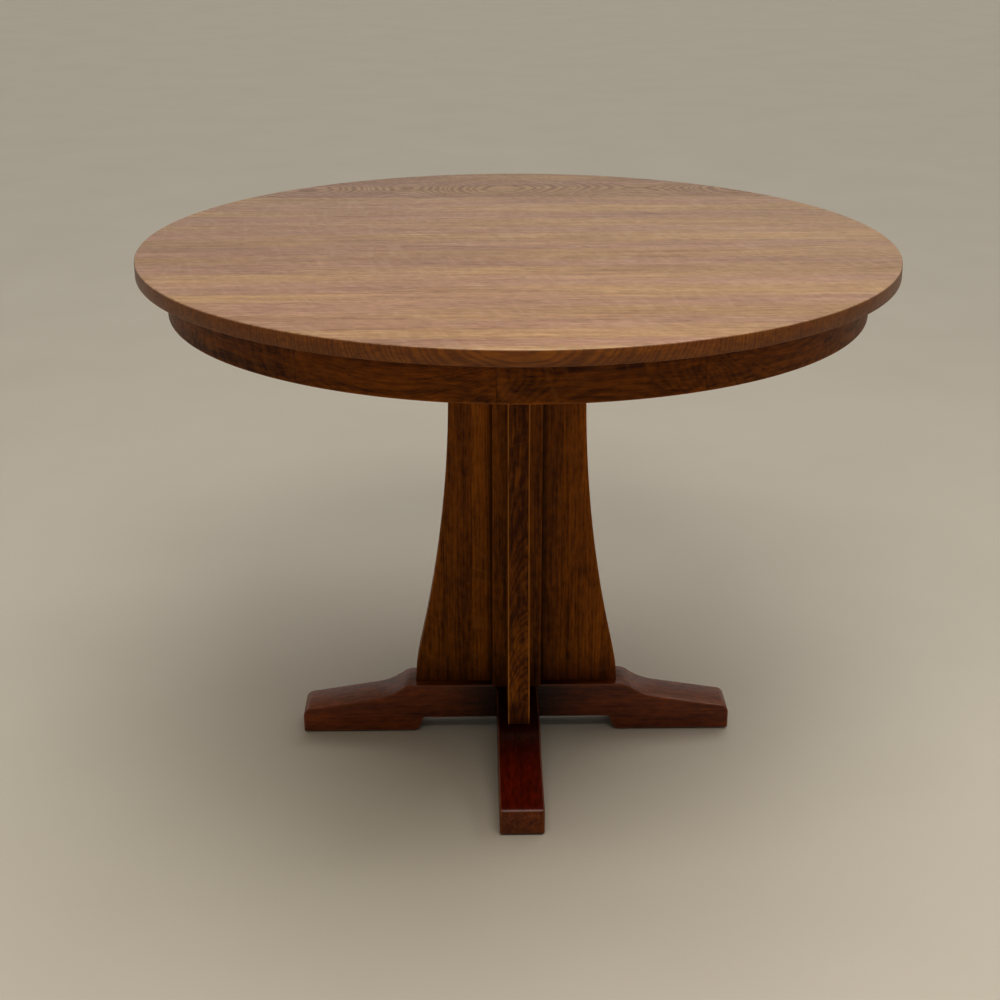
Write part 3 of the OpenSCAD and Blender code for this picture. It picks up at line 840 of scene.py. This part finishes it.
def foot_beam(node, turn, stain_and_light, seed, lap, near_post_shade):
    right = half_foot_outline()
    left = [Vector((-p.x, p.y)) for p in reversed(right)]
    piece = eased_slab("oak_" + node, right + left, FOOT_HIGH.y, FOOT_EASING)
    half = FOOT_HIGH.y + LAP_ROOM
    cutters = [box_cutter((-half, -0.1, lap[0]), (half, 0.1, lap[1]))]
    cutters += [
        round_cutter(side * FOOT_LAG_REACH, 0, 0.0, ARCH_HEIGHT + LAG_SINK_DEPTH, LAG_SINK_RADIUS)
        for side in (-1, 1)
    ]
    cutters.append(round_cutter(0, 0, 0.0, ARCH_HEIGHT + ROD_SINK_DEPTH, ROD_SINK_RADIUS))
    cut(piece, cutters)
    grain = GRAIN_ALONG_X if turn == 0 else GRAIN_ALONG_Y
    # The foot is painted darker near the post: painted shade.
    material = oak(
        "oak_" + node, stain_and_light, seed, grain, (0, 0, 0.05), FOOT_HEART,
        flecks=FOOT_FLECK, rings=FOOT_RINGS, near_post_shade=near_post_shade,
    )
    finished(turned(piece, turn), node, material)


LAP = (ARCH_HEIGHT + FOOT_HIGH.z) / 2
foot_beam("side_foot_beam", 0, SIDE_FOOT_STAIN_AND_SHADE, 13.1, (LAP, 0.1), SIDE_FOOT_SHADE)
foot_beam("front_foot_beam", 90, FRONT_FOOT_STAIN_AND_SHADE, 17.7, (0.0, LAP), FRONT_FOOT_SHADE)


# ---- Cleats and glue blocks, left unstained ----

CLEAT_LOW, CLEAT_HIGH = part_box("side_cleat")
CLEAT_EASING = 1.5 * MM
CLEAT_END_HEIGHT = 20 * MM
CLEAT_END_RUN = 50 * MM
CLEAT_LAG_REACH = 84 * MM
CLEAT_SCREW_REACHES = (155 * MM, 360 * MM)
CLEAT_SCREW_SINK_RADIUS = 7 * MM
CLEAT_SCREW_SINK_DEPTH = 12 * MM
SLOT_TRAVEL = 4 * MM
PLAIN_HEART = (0.0, 0.05, -0.08)
BLOCK_HEART = (0.0, 0.05, -0.06)
BLOCKS = sorted(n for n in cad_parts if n.startswith("glue_block_"))
BLOCK_FIRST_ANGLE = 22.5
BLOCK_DEPTH = 36 * MM
BLOCK_LENGTH = 60 * MM
BLOCK_EASING = 1.2 * MM
BLOCK_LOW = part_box(BLOCKS[0])[0].z
BLOCK_REACH = APRON_OUTER - APRON_THICKNESS
BLOCK_SINK = 5 * MM
BLOCK_SCREW_INSET = 22 * MM
BLOCK_SCREW_OFFSET = 18 * MM
BLOCK_SCREW_DROP = 23 * MM


def cleat(node, turn, seed, lap, travel):
    """A cleat under the top, built along X and then turned."""
    reach, low, high = CLEAT_HIGH.x, CLEAT_LOW.z, CLEAT_HIGH.z
    inner, end = reach - CLEAT_END_RUN, high - CLEAT_END_HEIGHT
    outline = [(-inner, low), (inner, low), (reach, end), (reach, high), (-reach, high), (-reach, end)]
    piece = eased_slab("oak_" + node, [Vector(p) for p in outline], CLEAT_HIGH.y, CLEAT_EASING)
    half = CLEAT_HIGH.y
    above = high + LAG_SINK_DEPTH
    sink = (low - CLEAT_SCREW_SINK_DEPTH, low + CLEAT_SCREW_SINK_DEPTH)
    cutters = [box_cutter((-half, -2 * half, lap[0]), (half, 2 * half, lap[1]))]
    cutters.append(round_cutter(0, 0, high - ROD_SINK_DEPTH, above, ROD_SINK_RADIUS))
    for side in (-1, 1):
        lag = side * CLEAT_LAG_REACH
        cutters.append(round_cutter(lag, 0, high - LAG_SINK_DEPTH, above, LAG_SINK_RADIUS))
        for place in CLEAT_SCREW_REACHES:
            cutters.append(round_cutter(side * place, 0, *sink, CLEAT_SCREW_SINK_RADIUS, travel))
    cut(piece, cutters)
    grain = GRAIN_ALONG_X if turn == 0 else GRAIN_ALONG_Y
    material = oak("oak_" + node, NO_STAIN, seed, grain, (0, 0, low), PLAIN_HEART, edge_wear_and_highlight=0.0)
    finished(turned(piece, turn), node, material)


def glue_block(number):
    angle = BLOCK_FIRST_ANGLE + (number - 1) * 360 / len(BLOCKS)
    spread = math.degrees(math.asin(BLOCK_LENGTH / 2 / BLOCK_REACH))
    front = BLOCK_REACH - BLOCK_DEPTH
    outline = [Vector((front, BLOCK_LENGTH / 2)), Vector((front, -BLOCK_LENGTH / 2))]
    outline += arc((0, 0), BLOCK_REACH, -spread, spread, 10)
    levels = [(BLOCK_LOW + a, b) for a, b in easing_steps(BLOCK_EASING, 3)] + [(TOP_UNDERSIDE, 0.0)]
    rings = [[(p.x, p.y, height) for p in inset(outline, shrink)] for height, shrink in levels]
    node = "glue_block_" + str(number)
    piece = loft("oak_" + node, rings)
    sink = (BLOCK_LOW - BLOCK_SINK, BLOCK_LOW + BLOCK_SINK)
    under = round_cutter(BLOCK_REACH - BLOCK_SCREW_INSET, BLOCK_SCREW_OFFSET, *sink, BLOCK_SINK)
    inside = round_cutter(0, 0, -BLOCK_SINK, BLOCK_SINK, BLOCK_SINK)
    inside.data.transform(Matrix.Rotation(math.pi / 2, 4, "Y"))
    inside.data.transform(Matrix.Translation((front, -BLOCK_SCREW_OFFSET, TOP_UNDERSIDE - BLOCK_SCREW_DROP)))
    cut(piece, [under, inside])
    turn = math.radians(angle)
    centre = (BLOCK_REACH * math.cos(turn), BLOCK_REACH * math.sin(turn), BLOCK_LOW)
    grain = (0.0, 0.0, turn + math.pi / 2)
    material = oak("oak_" + node, NO_STAIN, 2.0 * number, grain, centre, BLOCK_HEART, edge_wear_and_highlight=0.0)
    finished(turned(piece, angle), node, material)


cleat("side_cleat", 0, 5.1, (0.0, (CLEAT_LOW.z + CLEAT_HIGH.z) / 2), 0.0)
cleat("front_cleat", 90, 8.7, ((CLEAT_LOW.z + CLEAT_HIGH.z) / 2, 1.0), SLOT_TRAVEL)
for number in range(1, len(BLOCKS) + 1):
    glue_block(number)


# ---- Rod, screws and glides ----

HEX_FACE = 0.47
HEX_SLOPE = math.tan(math.radians(30))
ROD_RADIUS = 6 * MM
ROD_BORE = 6.5 * MM
NUT_WIDTH = 18 * MM
NUT_HEIGHT = 10 * MM
ROD_WASHER_RADIUS = 12 * MM
ROD_WASHER_THICKNESS = 2.5 * MM
LAG_RADIUS = 4 * MM
LAG_LENGTH = 100 * MM
LAG_HEAD_WIDTH = 13 * MM
LAG_HEAD_HEIGHT = 5 * MM
LAG_WASHER_RADIUS = 10 * MM
LAG_WASHER_THICKNESS = 2 * MM
GLIDE_RADIUS = 14 * MM
GLIDE_REACH = 296 * MM
GLIDE_TOP = FOOT_LOW.z
GLIDE_HOLE = 3.05 * MM
NAIL_RADIUS = 1.25 * MM
NAIL_HEAD = 3 * MM
NAIL_HEAD_LOW = 0.6 * MM
NAIL_HEAD_HIGH = 1.4 * MM
NAIL_TOP = 16 * MM
BREAK = 0.4 * MM


def metal(name, tint, roughness):
    material = bpy.data.materials.new(name)
    material.use_nodes = True
    g = Graph(material.node_tree)
    shader = material.node_tree.nodes["Principled BSDF"]
    place = g.node("ShaderNodeTexCoord").outputs["Object"]
    mottle = g.noise(place, (420.0, 420.0, 420.0), 3.0)
    g.feed(shader.inputs["Base Color"], g.blend(mottle, colour(*(c * 0.7 for c in tint)), colour(*tint)))
    g.feed(shader.inputs["Roughness"], g.math("MULTIPLY_ADD", mottle, 0.25, roughness))
    bump = g.node("ShaderNodeBump")
    bump.inputs["Strength"].default_value = 0.3
    bump.inputs["Distance"].default_value = 0.05 * MM
    g.feed(bump.inputs["Height"], mottle)
    g.feed(shader.inputs["Normal"], bump.outputs[0])
    shader.inputs["Metallic"].default_value = 1.0
    return material


def nylon(name):
    material = bpy.data.materials.new(name)
    material.use_nodes = True
    g = Graph(material.node_tree)
    shader = material.node_tree.nodes["Principled BSDF"]
    place = g.node("ShaderNodeTexCoord").outputs["Object"]
    scuffs = g.noise(place, (300.0, 300.0, 300.0), 4.0)
    worn, clean = colour(0.02, 0.014, 0.01), colour(0.06, 0.045, 0.035)
    g.feed(shader.inputs["Base Color"], g.blend(scuffs, worn, clean))
    g.feed(shader.inputs["Roughness"], g.math("MULTIPLY_ADD", scuffs, 0.3, 0.4))
    return material


def at(angle, reach, height, tip=(0.0, 0.0, 1.0)):
    """A place at a reach along a direction from the post's axis, with local Z along the tip's direction."""
    aim = Vector(tip).to_track_quat("Z", "X").to_matrix().to_4x4()
    return Matrix.Rotation(math.radians(angle), 4, "Z") @ Matrix.Translation((reach, 0.0, height)) @ aim


def washer(hole, radius, thickness):
    rings = [circle(hole, 0.0), circle(radius - BREAK, 0.0), circle(radius, BREAK)]
    rings += [circle(radius, thickness - BREAK), circle(radius - BREAK, thickness), circle(hole, thickness)]
    return shell(rings, closed=True)


def nut():
    rings = [circle(ROD_RADIUS + BREAK, 0.0), circle(HEX_FACE * NUT_WIDTH, 0.0)]
    rings += [hexagon(NUT_WIDTH, 0.0, -HEX_SLOPE), hexagon(NUT_WIDTH, NUT_HEIGHT, HEX_SLOPE)]
    rings += [circle(HEX_FACE * NUT_WIDTH, NUT_HEIGHT), circle(ROD_RADIUS + BREAK, NUT_HEIGHT)]
    rings += [circle(ROD_RADIUS, NUT_HEIGHT - BREAK), circle(ROD_RADIUS, BREAK)]
    return shell(rings, closed=True)


def lag_screw():
    """Pointing up, with its head under a washer that ends at the height 0."""
    head_top = -LAG_WASHER_THICKNESS
    head_low = head_top - LAG_HEAD_HEIGHT
    rings = [circle(HEX_FACE * LAG_HEAD_WIDTH, head_low), hexagon(LAG_HEAD_WIDTH, head_low, -HEX_SLOPE)]
    rings += [hexagon(LAG_HEAD_WIDTH, head_top), circle(LAG_RADIUS, head_top)]
    rings += [circle(LAG_RADIUS, LAG_LENGTH - 2 * LAG_RADIUS), circle(BREAK, LAG_LENGTH)]
    return shell(rings)


def wood_screw(radius, length, head_radius, head_height):
    """Pointing up, with a pan head below the height 0 and a cross recess in it."""
    rings = [circle(0.55 * head_radius, -head_height), circle(0.85 * head_radius, -0.85 * head_height)]
    rings += [circle(head_radius, -0.5 * head_height), circle(head_radius, 0.0), circle(radius, 0.0)]
    rings += [circle(radius, length - 3 * radius), circle(BREAK, length)]
    piece = loft("screw", rings)
    long, short, deep = 0.5 * head_radius, 0.12 * head_radius, 0.5 * head_height
    cut(piece, [
        box_cutter((-a, -b, -2 * head_height), (a, b, deep - head_height))
        for a, b in ((long, short), (short, long))
    ])
    part = [v.co.copy() for v in piece.data.vertices], [tuple(f.vertices) for f in piece.data.polygons]
    bpy.data.objects.remove(piece)
    return part


def fitted(node, part, places, material):
    finished(copies("metal_" + node, part, places), node, material)


zinc = metal("zinc_plate", (0.62, 0.60, 0.54), 0.28)
down = (0.0, 0.0, -1.0)
quarters = list(SIDES.values())
nut_low = ARCH_HEIGHT + ROD_SINK_DEPTH - ROD_WASHER_THICKNESS - NUT_HEIGHT
washer_levels = (nut_low + NUT_HEIGHT, TOP_UNDERSIDE - ROD_SINK_DEPTH)
nut_levels = (nut_low, washer_levels[1] + ROD_WASHER_THICKNESS)
rod_low, rod_high = (corner.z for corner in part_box("tie_rod"))
rod_rings = [circle(ROD_RADIUS - BREAK, rod_low), circle(ROD_RADIUS, rod_low + BREAK)]
rod_rings += [circle(ROD_RADIUS, rod_high - BREAK), circle(ROD_RADIUS - BREAK, rod_high)]
fitted("tie_rod", shell(rod_rings), [Matrix()], zinc)
fitted("tie_rod_nuts", nut(), [at(0, 0, z) for z in nut_levels], zinc)
rod_washer = washer(ROD_BORE, ROD_WASHER_RADIUS, ROD_WASHER_THICKNESS)
fitted("tie_rod_washers", rod_washer, [at(0, 0, z) for z in washer_levels], zinc)

lag_low, lag_high = ARCH_HEIGHT + LAG_SINK_DEPTH, TOP_UNDERSIDE - LAG_SINK_DEPTH
lag_places = [at(q, FOOT_LAG_REACH, lag_low) for q in quarters]
lag_places += [at(q, CLEAT_LAG_REACH, lag_high, down) for q in quarters]
fitted("lag_screws", lag_screw(), lag_places, zinc)
lag_washer = washer(LAG_RADIUS, LAG_WASHER_RADIUS, LAG_WASHER_THICKNESS)
under_head = Matrix.Translation((0, 0, -LAG_WASHER_THICKNESS))
fitted("lag_washers", lag_washer, [place @ under_head for place in lag_places], zinc)

cleat_screw = wood_screw(radius=2.5 * MM, length=40 * MM, head_radius=5 * MM, head_height=4 * MM)
block_screw = wood_screw(radius=2 * MM, length=38 * MM, head_radius=4 * MM, head_height=2.5 * MM)
cleat_screw_level = CLEAT_LOW.z + CLEAT_SCREW_SINK_DEPTH
cleat_screw_places = [at(q, reach, cleat_screw_level) for q in quarters for reach in CLEAT_SCREW_REACHES]
fitted("cleat_screws", cleat_screw, cleat_screw_places, zinc)
block_screw_places = []
for number in range(len(BLOCKS)):
    turn = Matrix.Rotation(math.radians(BLOCK_FIRST_ANGLE + number * 360 / len(BLOCKS)), 4, "Z")
    upper = Matrix.Translation((BLOCK_REACH - BLOCK_SCREW_INSET, BLOCK_SCREW_OFFSET, BLOCK_LOW + BLOCK_SINK))
    outer = Matrix.Translation((
        BLOCK_REACH - BLOCK_DEPTH + BLOCK_SINK, -BLOCK_SCREW_OFFSET, TOP_UNDERSIDE - BLOCK_SCREW_DROP
    ))
    block_screw_places += [turn @ upper, turn @ outer @ Matrix.Rotation(math.pi / 2, 4, "Y")]
fitted("block_screws", block_screw, block_screw_places, zinc)

glide = [circle(GLIDE_HOLE, 0.0), circle(GLIDE_RADIUS - 2 * BREAK, 0.0), circle(GLIDE_RADIUS, 2 * BREAK)]
glide += [circle(GLIDE_RADIUS, GLIDE_TOP), circle(NAIL_RADIUS, GLIDE_TOP)]
glide += [circle(NAIL_RADIUS, NAIL_HEAD_HIGH), circle(GLIDE_HOLE, NAIL_HEAD_HIGH)]
glide_places = [at(q, GLIDE_REACH, 0.0) for q in quarters]
fitted("glide_pads", shell(glide, closed=True), glide_places, nylon("glide_nylon"))
nail = [circle(NAIL_HEAD - 2 * BREAK, NAIL_HEAD_LOW), circle(NAIL_HEAD, NAIL_HEAD_LOW + BREAK)]
nail += [circle(NAIL_HEAD, NAIL_HEAD_HIGH), circle(NAIL_RADIUS, NAIL_HEAD_HIGH)]
nail += [circle(NAIL_RADIUS, NAIL_TOP - 2 * NAIL_RADIUS), circle(BREAK, NAIL_TOP)]
fitted("glide_nails", shell(nail), glide_places, zinc)


# ---- Hidden splines and dowels keep their CAD shapes ----

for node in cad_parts:
    if node.endswith("_wing_spline") or node == "wing_dowels":
        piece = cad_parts[node]
        piece.data.materials.clear()
        piece.data.materials.append(
            oak("oak_" + node, NO_STAIN, 4.0, GRAIN_UP, (0.0, 0.0, 0.4), PLAIN_HEART, edge_wear_and_highlight=0.0)
        )


# ---- Floor, light and camera ----


def floor():
    ring = circle(FLOOR_RADIUS, -FLOOR_GAP, 96)
    piece = add_mesh("floor", ring, [tuple(range(len(ring)))])
    material = bpy.data.materials.new("pale_floor")
    material.use_nodes = True
    g = Graph(material.node_tree)
    shader = material.node_tree.nodes["Principled BSDF"]
    place = g.node("ShaderNodeTexCoord").outputs["Object"]
    cloud = g.noise(place, (3.0, 3.0, 3.0), 4.0)
    g.feed(shader.inputs["Base Color"], g.blend(cloud, colour(0.53, 0.50, 0.45), colour(0.58, 0.55, 0.50)))
    shader.inputs["Roughness"].default_value = 0.8
    seen_from_below = g.node("ShaderNodeMixShader")
    g.feed(seen_from_below.inputs[0], g.node("ShaderNodeNewGeometry").outputs["Backfacing"])
    g.feed(seen_from_below.inputs[1], shader.outputs[0])
    g.feed(seen_from_below.inputs[2], g.node("ShaderNodeBsdfTransparent").outputs[0])
    g.feed(material.node_tree.nodes["Material Output"].inputs[0], seen_from_below.outputs[0])
    piece.data.materials.append(material)


def softbox(name, place, aim, size, power, tint):
    lamp = bpy.data.lights.new(name, "AREA")
    lamp.shape = "RECTANGLE"
    lamp.size, lamp.size_y = size
    lamp.energy = power
    lamp.color = tint
    holder = bpy.data.objects.new(name, lamp)
    holder.location = place
    holder.rotation_euler = (Vector(aim) - Vector(place)).to_track_quat("-Z", "Y").to_euler()
    bpy.context.collection.objects.link(holder)


def camera():
    lens = bpy.data.cameras.new("camera")
    lens.lens = CAMERA_LENS
    holder = bpy.data.objects.new("camera", lens)
    holder.location = CAMERA_PLACE
    holder.rotation_euler = (math.radians(CAMERA_TILT), 0, math.radians(CAMERA_TURN))
    bpy.context.collection.objects.link(holder)
    bpy.context.scene.camera = holder


def sky(dim, bright, pale):
    """A plain surround: dim in front, brighter low down behind, pale at the floor's far edge."""
    world = bpy.data.worlds.new("studio")
    world.use_nodes = True
    g = Graph(world.node_tree)
    way = g.node("ShaderNodeSeparateXYZ")
    g.feed(way.inputs[0], g.node("ShaderNodeTexCoord").outputs["Generated"])
    behind = g.step(way.outputs[1], 0.35, 0.95)
    low = g.math("SUBTRACT", 1.0, g.step(way.outputs[2], 0.25, 0.60))
    around = g.blend(g.math("MULTIPLY", behind, low), colour(*dim), colour(*bright))
    skyline = g.math("SUBTRACT", 1.0, g.step(way.outputs[2], 0.06, 0.22))
    back = world.node_tree.nodes["Background"]
    g.feed(back.inputs["Color"], g.blend(skyline, around, colour(*pale)))
    bpy.context.scene.world = world


def sun(name, heading, height, strength, spread, tint):
    """Even light from one side, at a heading from +X and a height above the floor, in degrees."""
    lamp = bpy.data.lights.new(name, "SUN")
    lamp.energy = strength
    lamp.angle = math.radians(spread)
    lamp.color = tint
    holder = bpy.data.objects.new(name, lamp)
    holder.rotation_euler = (0, math.radians(90 - height), math.radians(heading))
    bpy.context.collection.objects.link(holder)


floor()
sky(dim=(0.25, 0.23, 0.18), bright=(0.60, 0.61, 0.60), pale=(0.48, 0.46, 0.42))
sun("key", heading=58, height=68, strength=1.6, spread=65, tint=(1.0, 0.97, 0.93))
softbox(
    "front_top", place=(0.1, -1.3, 2.6), aim=(0, -0.2, 0.75), size=(1.6, 1.2),
    power=36, tint=(1.0, 0.94, 0.84),
)
camera()
picture = bpy.context.scene.view_settings
picture.view_transform = "Standard"
picture.gamma = PICTURE_GAMMA
